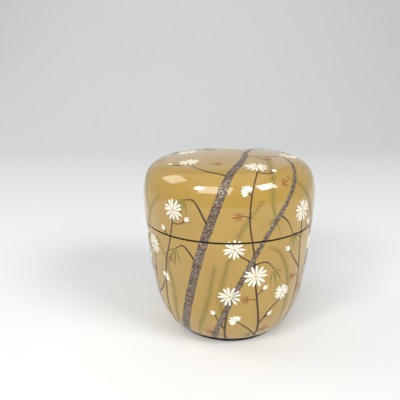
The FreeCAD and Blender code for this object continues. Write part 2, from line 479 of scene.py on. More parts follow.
def surface(tree, colour, roughness, height, depth, more=None, normals=("Normal",)):
    """Ends a material: relief of a depth in metres, the surface with any more inputs, the output."""
    relief = add(tree, "ShaderNodeBump", {"Height": height, "Distance": depth, "Strength": 1})
    shader = add(tree, "ShaderNodeBsdfPrincipled", {
        "Base Color": colour, "Roughness": roughness, **(more or {}), **dict.fromkeys(normals, relief)})
    add(tree, "ShaderNodeOutputMaterial", {"Surface": shader})


def per(size):
    """A texture scale whose features are about a given size in metres."""
    return 1 / size


# %% [markdown]
# The ground is a warm tan lacquer, thick and highly polished. The colour drifts faintly over a centimetre,
# and a fine cloud of lighter and darker dust lies under the clear coat. Polishing leaves very shallow
# waves about 9 mm wide in the gloss, and the colour under it was rubbed unevenly, half a millimetre at a
# time. The colours and the coat's index of refraction were matched to the photograph's ground and
# highlights: 1.72 is more than a real lacquer has, which is nearer 1.5.

# %% Tan lacquer
tan_lacquer, tree, place = start_material("polished_tan_lacquer")
drift = add(tree, "ShaderNodeTexNoise", {"Vector": place, "Scale": per(11 * mm), "Detail": 2})
cloud = add(tree, "ShaderNodeTexNoise",
            {"Vector": place, "Scale": per(0.35 * mm), "Detail": 4, "Roughness": 0.7})
rubbed = add(tree, "ShaderNodeTexNoise",
             {"Vector": place, "Scale": per(0.5 * mm), "Detail": 5, "Roughness": 0.65})
waves = add(tree, "ShaderNodeTexNoise", {"Vector": place, "Scale": per(9 * mm), "Detail": 1})
drifting = add(tree, "ShaderNodeMapRange", {"Value": drift, **noise_range})
pale_dust = add(tree, "ShaderNodeMapRange",
                {"Value": cloud, "From Min": 0.60, "From Max": 0.78, "To Max": 0.2})
dark_dust = add(tree, "ShaderNodeMapRange",
                {"Value": cloud, "From Min": 0.38, "From Max": 0.24, "To Max": 0.18})
ground = add(tree, "ShaderNodeMix", {"Factor": drifting, "A": linear("A4822A"), "B": linear("AC892F")},
             in_colour)
ground = add(tree, "ShaderNodeMix", {"Factor": pale_dust, "A": ground, "B": linear("C4A152")}, in_colour)
ground = add(tree, "ShaderNodeMix", {"Factor": dark_dust, "A": ground, "B": linear("8A6A26")}, in_colour)
under = add(tree, "ShaderNodeMapRange", {"Value": rubbed, **noise_range, "To Min": 0.36, "To Max": 0.48})
clear_coat = {"Coat Weight": 1, "Coat IOR": 1.72, "Coat Roughness": 0.03}
surface(tree, ground, under, waves, 0.02 * mm, {"Specular IOR Level": 0.2, **clear_coat},
        ("Normal", "Coat Normal"))

# %% [markdown]
# Inside, on the rims and underneath the lacquer is black: the same coat with almost no colour of its own,
# so nearly all that is seen of it is reflection. A real black lacquer is a very dark warm brown. Faint
# wiping marks run round it.

# %% Black lacquer
black_lacquer, tree, place = start_material("polished_black_lacquer")
drift = add(tree, "ShaderNodeTexNoise", {"Vector": place, "Scale": per(8 * mm), "Detail": 3})
round_it = add(tree, "ShaderNodeMapping", {"Vector": place, "Scale": (1, 1, 9)})
wiped = add(tree, "ShaderNodeTexNoise",
            {"Vector": round_it, "Scale": per(0.9 * mm), "Detail": 4, "Roughness": 0.7})
waves = add(tree, "ShaderNodeTexNoise", {"Vector": place, "Scale": per(7 * mm), "Detail": 1})
drifting = add(tree, "ShaderNodeMapRange", {"Value": drift, **noise_range})
dark = add(tree, "ShaderNodeMix", {"Factor": drifting, "A": linear("120E0B"), "B": linear("1B1511")},
           in_colour)
gloss = add(tree, "ShaderNodeMapRange", {"Value": wiped, **noise_range, "To Min": 0.08, "To Max": 0.17})
surface(tree, dark, gloss, waves, 0.015 * mm, {"Specular IOR Level": 0.5})

# %% [markdown]
# The turned wood lies between the coats and is seen only if they are lifted off. The blank is cut with
# the grain along the axis, so the year rings are cylinders about a centre well outside the piece, and
# fine pores run straight up through them. The wave texture counts in radians, so a ring comes every 2 pi
# times the length given to it, which is about 14 mm: wide for real wood.

# %% Turned wood
ring_radian = 2.2 * mm
radians_per_unit = 20
turned_wood, tree, place = start_material("turned_wood")
from_heart = add(tree, "ShaderNodeMapping", {"Vector": place, "Location": (0.06, 0.02, 0)})
rings = add(tree, "ShaderNodeTexWave",
            {"Vector": from_heart, "Scale": per(ring_radian) / radians_per_unit, "Distortion": 2.5,
             "Detail": 3, "Detail Scale": 1.5},
            {"wave_type": "RINGS", "rings_direction": "Z", "wave_profile": "SAW"}, take="Fac")
along = add(tree, "ShaderNodeMapping", {"Vector": place, "Scale": (1, 1, 0.03)})
fibre = add(tree, "ShaderNodeTexNoise",
            {"Vector": along, "Scale": per(0.3 * mm), "Detail": 4, "Roughness": 0.6})
pores = add(tree, "ShaderNodeMapRange", {"Value": fibre, "From Min": 0.4, "From Max": 0.7, "To Max": 0.5})
wood = add(tree, "ShaderNodeMix", {"Factor": rings, "A": linear("B98A58"), "B": linear("8F6238")},
           in_colour)
wood = add(tree, "ShaderNodeMix", {"Factor": pores, "A": wood, "B": linear("6E4727")}, in_colour)
dull = add(tree, "ShaderNodeMapRange", {"Value": fibre, **noise_range, "To Min": 0.5, "To Max": 0.68})
surface(tree, wood, dull, fibre, 0.05 * mm)
for name in ("lid_core", "body_core"):
    frame["nodes"][name].data.materials.clear()
    frame["nodes"][name].data.materials.append(turned_wood)

# %% [markdown]
# The five coats are turned now. Each stands for one solid of the model and rides on the same body, so
# the lid's coats rise with the lid.

# %% Turn the coats
turned("lid_tan_coat", lid_tan_section, tan_lacquer, "lid", "lid_outer_lacquer")
turned("lid_black_coat", lid_black_section, black_lacquer, "lid", "lid_inner_lacquer")
turned("body_tan_coat", body_tan_section, tan_lacquer, "caddy", "body_outer_lacquer")
turned("body_black_coat", body_black_section, black_lacquer, "caddy", "body_inner_lacquer")
turned("foot_black_coat", foot_section, black_lacquer, "caddy", "foot_lacquer")

# %% [markdown]
# Where lid and body meet, the black rims get a browner lacquer, far less glossy than the inside, with faint
# streaks round it. It reflects so little that the rims are partly real black lacquer and partly painted
# shade for the gap between lid and body, so the seam reads as one dark line.

# %% Brushed rims
rim_lacquer, tree, place = start_material("brushed_black_rim_lacquer")
round_it = add(tree, "ShaderNodeMapping", {"Vector": place, "Scale": (1, 1, 9)})
brushed = add(tree, "ShaderNodeTexNoise", {"Vector": round_it, "Scale": per(0.6 * mm), "Detail": 3})
# The browner, duller rim colour is painted shade for the gap at the seam, over the real black rim.
brown = add(tree, "ShaderNodeMix", {"Factor": brushed, "A": linear("140B06"), "B": linear("241509")},
            in_colour)
dull = add(tree, "ShaderNodeMapRange", {"Value": brushed, **noise_range, "To Min": 0.4, "To Max": 0.55})
surface(tree, brown, dull, brushed, 0.01 * mm, {"Specular IOR Level": 0.15})
for name in ("lid_black_coat", "body_black_coat"):
    coat = bpy.data.objects[name].data
    coat.materials.append(rim_lacquer)
    rim = [face for face in coat.polygons if face.center.xy.length > mouth_radius + mouth_arris
           and abs(face.center.z - seam_height) < lid_arris]
    for face in rim:
        face.material_index = 1
    print(name, "rim faces", len(rim))

# %% [markdown]
# The decoration is raised lacquer work, drawn with a brush over the finished coat: slanting bamboo,
# chrysanthemums on thin stems, and plumes of autumn grass. Each stroke stands a few hundredths of a
# millimetre proud and has rounded edges. It could be a picture on the coat, but then it would be flat and
# would blur close up, so every stroke here is a small solid that lies on the form.
# A place on the form is given as a maker would give it: the angle round the caddy from its front, in
# degrees to the right, and the distance in millimetres from the middle of the dome, down over the surface.

# %% Places on the form
outside = lid_form(0) + follow(
    at(lid_radius, widest_height), (side_centre, beyond(side_centre, belly_centre, side_radius)),
    (belly_centre, beyond(belly_centre, foot_turn_centre, belly_radius)),
    (foot_turn_centre, at(foot_turn_centre.real, foot_height)))[1:]
travel = np.cumsum([0] + [abs(b - a) for a, b in zip(outside, outside[1:])]) / mm
seam_travel = float(np.interp(-seam_height, [-p.imag for p in outside], travel))
print("down the outside: seam at", round(seam_travel, 1), "mm, foot at", round(float(travel[-1]), 1), "mm")


slope_step = 0.5


def spot(angle, distance):
    """The point of the form at an angle and a distance from the middle of the dome, and below it."""
    reach = np.interp(distance, travel, [p.real for p in outside])
    height = np.interp(distance, travel, [p.imag for p in outside])
    a = math.radians(angle)
    return Vector((reach * math.sin(a), -reach * math.cos(a), height))


def upward(angle, distance, turn):
    """The direction up the form at a place, turned clockwise by some degrees."""
    above = spot(angle, max(distance - slope_step, 0))
    up = (above - spot(angle, distance + slope_step)).normalized()
    a = math.radians(angle)
    right = Vector((math.cos(a), math.sin(a), 0))
    t = math.radians(turn)
    return up * math.cos(t) + right * math.sin(t)


# %% [markdown]
# Strokes are laid on guides: the lid's form and the body's form, each drawn on past the seam. A stroke
# that crosses the seam is then laid twice, once on each, and cut at the seam. That is how the real work
# goes: it is painted with the lid on, and cut free along the joint, so the picture meets when it is closed.

# %% Guides under the brush
def guide(name, section):
    """A helper form that isn't rendered, spun from an open section."""
    made = link_object(name, spin(name, section, ring=False))
    made.hide_render = True
    return made


past_seam = 7 * mm
lid_end = on_arc(side_centre, side_radius, seam_height - past_seam)
body_start = on_arc(side_centre, body_side_radius, seam_height + past_seam)
guides = {
    "lid": guide("lid_guide", lid_form(0) + follow(
        at(lid_radius, widest_height), (side_centre, lid_end))[1:]),
    "caddy": guide("body_guide", body_form(body_start, 0))}
cuts = {"lid": seam_height + lid_arris, "caddy": seam_height - body_arris}

# %% [markdown]
# One tree turns bare lines into brush strokes. It lays each line on the guide, turns its cross-section to
# the surface, sweeps a flat profile as wide as the brush was pressed, and lifts every point by the relief
# of the lacquer: fully in the middle of the stroke, less towards its edges, and a little below the
# surface on its underside, so the stroke is closed and looks grown into the coat.

# %% Brush stroke tree
def form_under(tree, given):
    """The guide's form in a tree, and the direction straight out of it at the nearest place."""
    form = add(tree, "GeometryNodeObjectInfo", {"Object": given["Guide"]}, take="Geometry")
    normal = add(tree, "GeometryNodeInputNormal")
    return form, add(tree, "GeometryNodeSampleNearestSurface", {"Mesh": form, "Value": normal}, as_vector)


brush_inputs = {"Guide": "Object", "Relief": "Float", "Step": "Float", "Sides": "Int",
                "Material": "Material"}
brush, given = new_tree("brush_strokes", brush_inputs)
ground_form, outward = form_under(brush, given)
nearest = add(brush, "GeometryNodeProximity", {"Geometry": ground_form}, {"target_element": "FACES"})
press = add(brush, "GeometryNodeInputNamedAttribute", {"Name": "half_width"}, as_number)
lines = add(brush, "GeometryNodeMeshToCurve", {"Mesh": given["Geometry"]})
pressed = add(brush, "GeometryNodeSetCurveRadius", {"Curve": lines, "Radius": press})
spaced = add(brush, "GeometryNodeResampleCurve",
             {"Curve": pressed, "Length": given["Step"]}, {"mode": "LENGTH"})
on_form = add(brush, "GeometryNodeSetPosition", {"Geometry": spaced, "Position": nearest})
facing = add(brush, "GeometryNodeSetCurveNormal", {"Curve": on_form, "Normal": outward}, {"mode": "FREE"})
circle = add(brush, "GeometryNodeCurvePrimitiveCircle", {"Resolution": given["Sides"], "Radius": 1.0})
corner = add(brush, "GeometryNodeInputPosition")
parts = add(brush, "ShaderNodeSeparateXYZ", {"Vector": corner}).node.outputs
sunk = add(brush, "ShaderNodeMath", {0: parts["X"], 1: -0.4}, {"operation": "MAXIMUM"})
marked = add(brush, "GeometryNodeStoreNamedAttribute", {"Geometry": circle, "Name": "lift", "Value": sunk},
             on_points)
flat = add(brush, "GeometryNodeSetPosition", {
    "Geometry": marked, "Position": add(brush, "ShaderNodeCombineXYZ", {"Y": parts["Y"]})})
wide = add(brush, "GeometryNodeInputRadius")
body_of_stroke = add(brush, "GeometryNodeCurveToMesh", {
    "Curve": facing, "Profile Curve": flat, "Scale": wide, "Fill Caps": True})
lift = add(brush, "GeometryNodeInputNamedAttribute", {"Name": "lift"}, as_number)
height = add(brush, "ShaderNodeMath", {0: lift, 1: given["Relief"]}, {"operation": "MULTIPLY"})
rise = add(brush, "ShaderNodeVectorMath", {"Vector": outward, "Scale": height}, {"operation": "SCALE"})
raised = add(brush, "ShaderNodeVectorMath", {0: nearest, 1: rise}, {"operation": "ADD"})
relief = add(brush, "GeometryNodeSetPosition", {"Geometry": body_of_stroke, "Position": raised})
smooth = add(brush, "GeometryNodeSetShadeSmooth", {"Geometry": relief})
real = add(brush, "GeometryNodeRealizeInstances", {"Geometry": smooth})
painted = add(brush, "GeometryNodeSetMaterial", {"Geometry": real, "Material": given["Material"]})
add(brush, "NodeGroupOutput", {"Geometry": painted})

# %% [markdown]
# Flowers, buds and leaves repeat, so each is drawn once as a flat motif of lines and set on the form by a
# second tree. Every place carries its up direction, its size and its tilt. The instances are made real
# before the brush goes over them, so each one bends with the form that it lies on.

# %% Tree that sets a motif on the form
setter, given = new_tree("set_motif", {"Motif": "Object", **brush_inputs})
outward = form_under(setter, given)[1]
up = add(setter, "GeometryNodeInputNamedAttribute", {"Name": "up"}, as_vector)
turn = add(setter, "FunctionNodeAxesToRotation", {"Primary Axis": outward, "Secondary Axis": up},
           {"primary_axis": "Z", "secondary_axis": "Y"})
size = add(setter, "GeometryNodeInputNamedAttribute", {"Name": "size"}, as_number)
tilt = add(setter, "GeometryNodeInputNamedAttribute", {"Name": "tilt"}, as_number)
short = add(setter, "ShaderNodeMath", {0: size, 1: tilt}, {"operation": "MULTIPLY"})
scale = add(setter, "ShaderNodeCombineXYZ", {"X": size, "Y": short, "Z": size})
motif = add(setter, "GeometryNodeObjectInfo", {"Object": given["Motif"]}, take="Geometry")
places = add(setter, "GeometryNodeInstanceOnPoints",
             {"Points": given["Geometry"], "Instance": motif, "Rotation": turn, "Scale": scale})
real = add(setter, "GeometryNodeRealizeInstances", {"Geometry": places})
press = add(setter, "GeometryNodeInputNamedAttribute", {"Name": "half_width"}, as_number)
grown = add(setter, "ShaderNodeMath", {0: press, 1: size}, {"operation": "MULTIPLY"})
wider = add(setter, "GeometryNodeStoreNamedAttribute",
            {"Geometry": real, "Name": "half_width", "Value": grown}, on_points)
brushed = add(setter, "GeometryNodeGroup", {"Geometry": wider, **{n: given[n] for n in brush_inputs}},
              {"node_tree": brush})
add(setter, "NodeGroupOutput", {"Geometry": brushed})

# %% [markdown]
# A plume of grass is one stem with hair-fine barbs that leave it to both sides, as on a feather. A third
# tree walks along each stem, sets a barb at every step, turns every second one over to the other side,
# and makes them long in the middle and short at the tip.

# %% Plume tree
plume, given = new_tree("plume", {"Barb": "Object", "Spacing": "Float", "Start": "Float", **brush_inputs})
ground_form, outward = form_under(plume, given)
nearest = add(plume, "GeometryNodeProximity", {"Geometry": ground_form}, {"target_element": "FACES"})
stems = add(plume, "GeometryNodeMeshToCurve", {"Mesh": given["Geometry"]})
spaced = add(plume, "GeometryNodeResampleCurve",
             {"Curve": stems, "Length": given["Spacing"]}, {"mode": "LENGTH"})
on_form = add(plume, "GeometryNodeSetPosition", {"Geometry": spaced, "Position": nearest})
turn = add(plume, "FunctionNodeAxesToRotation",
           {"Primary Axis": outward, "Secondary Axis": add(plume, "GeometryNodeInputTangent")},
           {"primary_axis": "Z", "secondary_axis": "X"})
along = add(plume, "GeometryNodeSplineParameter", take="Factor")
feathered = add(plume, "ShaderNodeMath", {0: along, 1: given["Start"]}, {"operation": "GREATER_THAN"})
share = add(plume, "ShaderNodeMapRange", {"Value": along, "From Min": given["Start"], "From Max": 1.0})
taper = add(plume, "ShaderNodeMath", {0: share, 1: -0.5, 2: 1.0}, {"operation": "MULTIPLY_ADD"})
swell = add(plume, "ShaderNodeMapRange", {"Value": share, "From Min": 0.0, "From Max": 0.25,
                                          "To Min": 0.45, "To Max": 1.0})
uneven = add(plume, "FunctionNodeRandomValue", {"Min": 0.85, "Max": 1.15, "Seed": 7}, as_number)
long = add(plume, "ShaderNodeMath", {0: taper, 1: swell}, {"operation": "MULTIPLY"})
long = add(plume, "ShaderNodeMath", {0: long, 1: uneven}, {"operation": "MULTIPLY"})
count = add(plume, "GeometryNodeInputIndex")
odd = add(plume, "ShaderNodeMath", {0: count, 1: 2.0}, {"operation": "MODULO"})
side = add(plume, "ShaderNodeMath", {0: odd, 1: -2.0, 2: 1.0}, {"operation": "MULTIPLY_ADD"})
across = add(plume, "ShaderNodeMath", {0: long, 1: side}, {"operation": "MULTIPLY"})
scale = add(plume, "ShaderNodeCombineXYZ", {"X": long, "Y": across, "Z": 1.0})
barb = add(plume, "GeometryNodeObjectInfo", {"Object": given["Barb"]}, take="Geometry")
barbs = add(plume, "GeometryNodeInstanceOnPoints", {
    "Points": on_form, "Selection": feathered, "Instance": barb, "Rotation": turn, "Scale": scale})
real = add(plume, "GeometryNodeRealizeInstances", {"Geometry": barbs})
both = add(plume, "GeometryNodeJoinGeometry")
for source in (given["Geometry"], real):
    plume.links.new(source, both.node.inputs[0])
brushed = add(plume, "GeometryNodeGroup", {"Geometry": both, **{n: given[n] for n in brush_inputs}},
              {"node_tree": brush})
add(plume, "NodeGroupOutput", {"Geometry": brushed})

# %% [markdown]
# The lines themselves are plain meshes of edges with the brush's half width at each point. Free lines run
# smoothly through a few given places. A piece of decoration is built for the lid and for the body, cut at
# the seam and given to its body.

# %% Draw, lay and cut
path_step = 0.8 * mm
finest_half_width = 0.03 * mm


def smooth_path(stops):
    """A smooth path of points and widths through stops given as angle, distance and width in mm."""
    known = [np.array([*spot(angle, distance), width * mm]) for angle, distance, width in stops]
    known = [2 * known[0] - known[1]] + known + [2 * known[-1] - known[-2]]
    path = []
    for a, b, c, d in zip(known, known[1:], known[2:], known[3:]):
        for t in np.linspace(0, 1, 2 + int(np.linalg.norm(c - b) / path_step), endpoint=False):
            path.append((2 * b + (c - a) * t + (2 * a - 5 * b + 4 * c - d) * t**2
                         + (3 * b - a - 3 * c + d) * t**3) / 2)
    return np.array(path + [known[-2]])


def line_mesh(name, strokes):
    """A mesh of bare lines. Each stroke is a row of x, y, z and full width, in metres."""
    mesh = bpy.data.meshes.new(name)
    edges = []
    total = 0
    for stroke in strokes:
        edges += [(total + k, total + k + 1) for k in range(len(stroke) - 1)]
        total += len(stroke)
    rows = np.concatenate(strokes)
    mesh.from_pydata(rows[:, :3].tolist(), edges, [])
    pressed = mesh.attributes.new("half_width", "FLOAT", "POINT")
    pressed.data.foreach_set("value", np.maximum(rows[:, 3] / 2, finest_half_width).astype(np.float32))
    return mesh


def place_mesh(name, places):
    """A mesh of bare points. Each place is angle, distance, turn, size and perhaps tilt."""
    mesh = bpy.data.meshes.new(name)
    mesh.from_pydata([spot(p[0], p[1]) for p in places], [], [])
    mesh.attributes.new("up", "FLOAT_VECTOR", "POINT").data.foreach_set(
        "vector", np.array([upward(*p[:3]) for p in places], np.float32).ravel())
    mesh.attributes.new("size", "FLOAT", "POINT").data.foreach_set("value", [p[3] for p in places])
    mesh.attributes.new("tilt", "FLOAT", "POINT").data.foreach_set(
        "value", [p[4] if len(p) > 4 else 1.0 for p in places])
    return mesh


def cut_at_seam(shape, body):
    """Takes away what lies past the seam and closes the cut."""
    faces = shape.verts[:] + shape.edges[:] + shape.faces[:]
    upper = body == "lid"
    cut = bmesh.ops.bisect_plane(shape, geom=faces, plane_co=(0, 0, cuts[body]), plane_no=(0, 0, 1),
                                 clear_inner=upper, clear_outer=not upper)
    open_edges = [e for e in cut["geom_cut"] if isinstance(e, bmesh.types.BMEdge)]
    bmesh.ops.holes_fill(shape, edges=open_edges)


def lay(name, material, relief, jobs, step=0.5, sides=6):
    """Lays one material's strokes on lid and body, with the relief and the step in mm.

    A job is a tree, a mesh of lines or places, and the tree's further inputs.
    """
    for body, laid_on in guides.items():
        whole = bmesh.new()
        for tree, mesh, extra in jobs:
            host = link_object(name + "_lines", mesh)
            run(host, tree, {"Guide": laid_on, "Relief": relief * mm, "Step": step * mm, "Sides": sides,
                             "Material": material, **extra})
            part = settle(host)
            whole.from_mesh(part)
            bpy.data.objects.remove(host)
            bpy.data.meshes.remove(part)
        cut_at_seam(whole, body)
        if not whole.faces:
            whole.free()
            continue
        bmesh.ops.recalc_face_normals(whole, faces=whole.faces)
        mesh = bpy.data.meshes.new(name)
        whole.to_mesh(mesh)
        whole.free()
        for attribute in ("half_width", "lift", "size", "tilt", "up"):
            if attribute in mesh.attributes:
                mesh.attributes.remove(mesh.attributes[attribute])
        mesh.materials.clear()
        mesh.materials.append(material)
        piece = link_object(("lid_" if body == "lid" else "body_") + name, mesh)
        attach(piece, body)
        print(piece.name, len(mesh.polygons), "faces")


# %% [markdown]
# Painted finishes. Fine lines are plain dark lacquer. Powdered lacquer holds metal grains: silver on the
# bamboo, green gold on the grass. Real grains are a tenth of a millimetre or less, too fine to show in the
# picture, so they are drawn a quarter of a millimetre across. The white is crushed shell in lacquer, matt
# and a little warm.

# %% Painted finishes
powder_grain = 0.25 * mm
grain_edge = 0.04
roughness_spread = 0.07


def painted_lacquer(name, first, second, grain=0.5, roughness=0.35, metal=0.0, powder=None, cover=0.5):
    """Lacquer that drifts between two colours, perhaps with metal powder of a third in it."""
    material, tree, place = start_material(name)
    drift = add(tree, "ShaderNodeTexNoise", {"Vector": place, "Scale": per(grain * mm), "Detail": 3})
    drifting = add(tree, "ShaderNodeMapRange", {"Value": drift, "From Min": 0.35, "From Max": 0.65})
    colour = add(tree, "ShaderNodeMix", {"Factor": drifting, "A": linear(first), "B": linear(second)},
                 in_colour)
    shine = metal
    if powder:
        specks = add(tree, "ShaderNodeTexVoronoi",
                     {"Vector": place, "Scale": per(powder_grain)}, take="Color")
        lot = add(tree, "ShaderNodeSeparateColor", {"Color": specks})
        grains = add(tree, "ShaderNodeMapRange",
                     {"Value": lot, "From Min": 1 - cover, "From Max": 1 + grain_edge - cover})
        bright = add(tree, "ShaderNodeMix", {"Factor": lot.node.outputs["Green"], "A": linear(powder),
                                             "B": linear(second)}, in_colour)
        colour = add(tree, "ShaderNodeMix", {"Factor": grains, "A": colour, "B": bright}, in_colour)
        shine = add(tree, "ShaderNodeMapRange", {"Value": grains, "To Min": 0.0, "To Max": metal})
    dull = add(tree, "ShaderNodeMapRange", {
        "Value": drift, **noise_range,
        "To Min": roughness - roughness_spread, "To Max": roughness + roughness_spread})
    surface(tree, colour, dull, drift, 0.015 * mm, {"Metallic": shine})
    return material


silvered_brown = painted_lacquer("silver_powdered_brown_lacquer", "3E2A1C", "5A4330", grain=0.8, metal=0.5,
                                 powder="BBB1A0", cover=0.42)
line_brown = painted_lacquer("dark_brown_lacquer", "2E1A12", "4A2C1B", roughness=0.28)
green_gold = painted_lacquer("green_gold_powder", "585620", "7D7934", roughness=0.45, metal=0.3,
                             powder="B3A24E", cover=0.2)
rust_red = painted_lacquer("rust_red_lacquer", "7A3812", "A0541C", roughness=0.32)
dark_red = painted_lacquer("dark_red_lacquer", "5A1518", "751E20", roughness=0.25)
shell_white = painted_lacquer("shell_white", "EFEBDD", "FBF8EE", grain=0.4, roughness=0.5)
pale_green = painted_lacquer("pale_green_lacquer", "8C9F6C", "AAB585", roughness=0.4)
gold_powder = painted_lacquer("gold_powder", "A98433", "CDA850", roughness=0.35, metal=0.8,
                              powder="E7CB7C", cover=0.35)

# %% [markdown]
# Motifs are drawn flat, with Y up. The chrysanthemum has twelve petals, each pressed wide near its tip,
# fine green lines from the heart, and a heart of gold dots. The half-open flower is a fan in a green cup.
# Nothing is quite even, because a brush isn't.

# %% Motifs
luck = np.random.default_rng(12)


def ray(turn, start, end, widths, bend=0.0):
    """A stroke away from a centre: its turn clockwise from up, its ends and widths in mm.

    The bend is how many degrees further it has turned when it ends.
    """
    t = np.linspace(0, 1, len(widths))
    reach = start + (end - start) * t
    way = np.radians(turn + bend * t)
    return np.stack([reach * np.sin(way), reach * np.cos(way), 0 * t, np.array(widths)], 1) * mm


def dot(turn, reach, width):
    """A round dot of lacquer."""
    span = np.array([-1, -0.8, -0.3, 0.3, 0.8, 1]) * width / 2
    way = math.radians(turn)
    widths = width * np.array([0.1, 0.6, 0.95, 0.95, 0.6, 0.1])
    middle = (reach * math.sin(way), reach * math.cos(way))
    return np.stack([middle[0] + span, middle[1] + 0 * span, 0 * span, widths], 1) * mm


def motif(name, strokes):
    """A flat motif of strokes that isn't rendered itself."""
    made = link_object(name, line_mesh(name, strokes))
    made.hide_render = True
    return made


petal = np.array([0.45, 0.75, 1.05, 1.32, 1.52, 1.62, 1.45, 0.5])
turns_of_petals = [30 * k + luck.uniform(-3, 3) for k in range(12)]
open_petals = motif("open_petals", [ray(a, 0.3, 3.8 + luck.uniform(-0.25, 0.15), petal, luck.uniform(-4, 4))
                                    for a in turns_of_petals])
open_lines = motif("open_lines", [ray(a, 0.9, 2.9 + luck.uniform(-0.3, 0.3), [0.42, 0.36, 0.24, 0.08])
                                  for a in turns_of_petals])
open_heart = motif("open_heart", [dot(0, 0, 0.6)] + [dot(60 * k, 0.45, 0.52) for k in range(6)]
                   + [dot(36 * k + 18, 0.92, 0.52) for k in range(10)])

fan = [-70, -46, -23, 1, 24, 48, 71]
side_petals = motif("side_petals", [ray(a, 0.6, 4.0 - abs(a) / 60, petal, -a / 9) for a in fan])
side_lines = motif("side_lines", [ray(a, 0.8, 3.0 - abs(a) / 70, [0.4, 0.34, 0.22, 0.08], -a / 9)
                                  for a in fan])
side_cup = motif("side_cup", [ray(a, 0, 1.25, [0.3, 0.62, 0.55, 0.12]) for a in (-62, -30, 0, 30, 62)]
                 + [ray(180, 0, 1.4, [0.5, 0.36, 0.3])])

bud_petals = motif("bud_petals", [ray(a, 0, 2.6 - abs(a) / 40, [0.5, 1.0, 1.2, 1.1, 0.75, 0.2])
                                  for a in (-20, 0, 20)])
bud_cup = motif("bud_cup", [ray(a, -0.3, 1.1, [0.35, 0.6, 0.45, 0.1]) for a in (-42, 0, 42)]
                + [dot(0, 0.1, 0.95)])

leaf = np.array([0.12, 0.6, 0.95, 1.0, 0.8, 0.45, 0.08])
lobed_leaf = motif("lobed_leaf", [ray(0, -0.2, 3.7, leaf * 1.0), ray(-40, 0.2, 2.9, leaf * 0.85, 8),
                                  ray(40, 0.2, 2.9, leaf * 0.85, -8), ray(-84, 0.1, 1.9, leaf * 0.7, 14),
                                  ray(84, 0.1, 1.9, leaf * 0.7, -14), ray(180, 0, 1.5, [0.3, 0.22, 0.12])])
blade = np.array([0.1, 0.5, 0.92, 1.0, 0.94, 0.8, 0.58, 0.3, 0.06])
bamboo_leaves = motif("bamboo_leaves", [
    ray(-52, 0, 6.6, blade * 1.15, 12), ray(-20, 0.2, 8.8, blade * 1.4, 6),
    ray(12, 0.2, 9.6, blade * 1.5, -5), ray(44, 0, 7.4, blade * 1.25, -12)])
barb_line = motif("barb", [np.array([(0, 0, 0, 0.26), (0.55, 0.55, 0, 0.25), (1.35, 1.15, 0, 0.2),
                                     (2.4, 1.7, 0, 0.05)]) * mm])

# %% [markdown]
# The bamboo slants up across the front and over the dome, and a second pair stands at the back. A culm is
# painted joint by joint: each length swells a little at both ends, a hair of ground shows between two
# lengths, and a dark line marks the joint.

# %% Bamboo culms
bare_tip = 4.0
swell = 0.16
swell_reach = 0.8
row_step = 0.7
mark_reach = 0.56
mark_bow = 0.12
mark_widths = {-1: 0.3, -0.5: 0.4, 0: 0.44, 0.5: 0.4, 1: 0.3}


def outward_at(place):
    """The direction straight out of the form at a point on it."""
    reach = max(math.hypot(place[0], place[1]), axis_reach)
    nearest = np.argmin(np.abs(np.array(outside) - complex(reach, place[2])))
    k = int(np.clip(nearest, 1, len(outside) - 2))
    out = (outside[k + 1] - outside[k - 1]) * 1j
    out /= abs(out)
    return np.array([out.real * place[0] / reach, out.real * place[1] / reach, out.imag])


def culm(stops, first, length=14.0, gap=0.5):
    """The lengths of a culm and the lines at its joints. First joint, length and gap are in mm."""
    path = smooth_path(stops)
    strides = np.linalg.norm(np.diff(path[:, :3], axis=0), axis=1)
    walked = np.concatenate([[0], np.cumsum(strides)]) / mm

    def along(where):
        return np.stack([np.interp(where, walked, path[:, k]) for k in range(4)], -1)

    joints = list(np.arange(first, walked[-1] - bare_tip, length))
    starts = [0] + [joint + gap / 2 for joint in joints]
    ends = [joint - gap / 2 for joint in joints] + [walked[-1]]
    lengths, marks = [], []
    for start, end in zip(starts, ends):
        where = np.linspace(start, end, max(int((end - start) / row_step), 4))
        row = along(where)
        near_start = swell * np.exp(-((where - start) / swell_reach)**2)
        near_end = swell * np.exp(-((end - where) / swell_reach)**2)
        row[:, 3] *= 1 + near_start + near_end
        lengths.append(row)
    for joint in joints:
        here, ahead = along(joint), along(joint + slope_step)
        way = (ahead - here)[:3] / np.linalg.norm((ahead - here)[:3])
        across = np.cross(way, outward_at(here))
        half = here[3] * mark_reach
        marks.append(np.array([[*(here[:3] + across * half * s - way * mark_bow * half * s * s), w * mm]
                               for s, w in mark_widths.items()]))
    return lengths, marks


culms = [
    culm([(-46, 98, 3.5), (-36, 84, 3.3), (-27, 68, 3.15), (-19, 53, 3.0), (-11, 40, 2.85),
          (-2, 27, 2.65), (18, 14, 2.2), (80, 7, 1.7), (128, 13, 1.1), (140, 20, 0.5)], 10),
    culm([(-18, 98, 2.1), (-10, 84, 2.0), (3, 67, 1.9), (17, 51, 1.8), (33, 38, 1.7), (50, 28, 1.3),
          (74, 21, 0.5)], 7, 12.5),
    culm([(150, 98, 3.2), (160, 82, 3.05), (171, 64, 2.9), (180, 48, 2.7), (187, 36, 2.5),
          (197, 24, 1.7), (216, 15, 0.6)], 11),
    culm([(188, 98, 2.0), (180, 80, 1.9), (167, 60, 1.8), (152, 44, 1.65), (138, 33, 1.2),
          (120, 25, 0.5)], 8, 12)]
culm_lengths = [row for lengths, marks in culms for row in lengths]
culm_marks = [row for lengths, marks in culms for row in marks]

# %% [markdown]
# Stems and twigs are dark hairlines. Each is a few places on the form that a smooth line runs through,
# with the width of the brush at each.

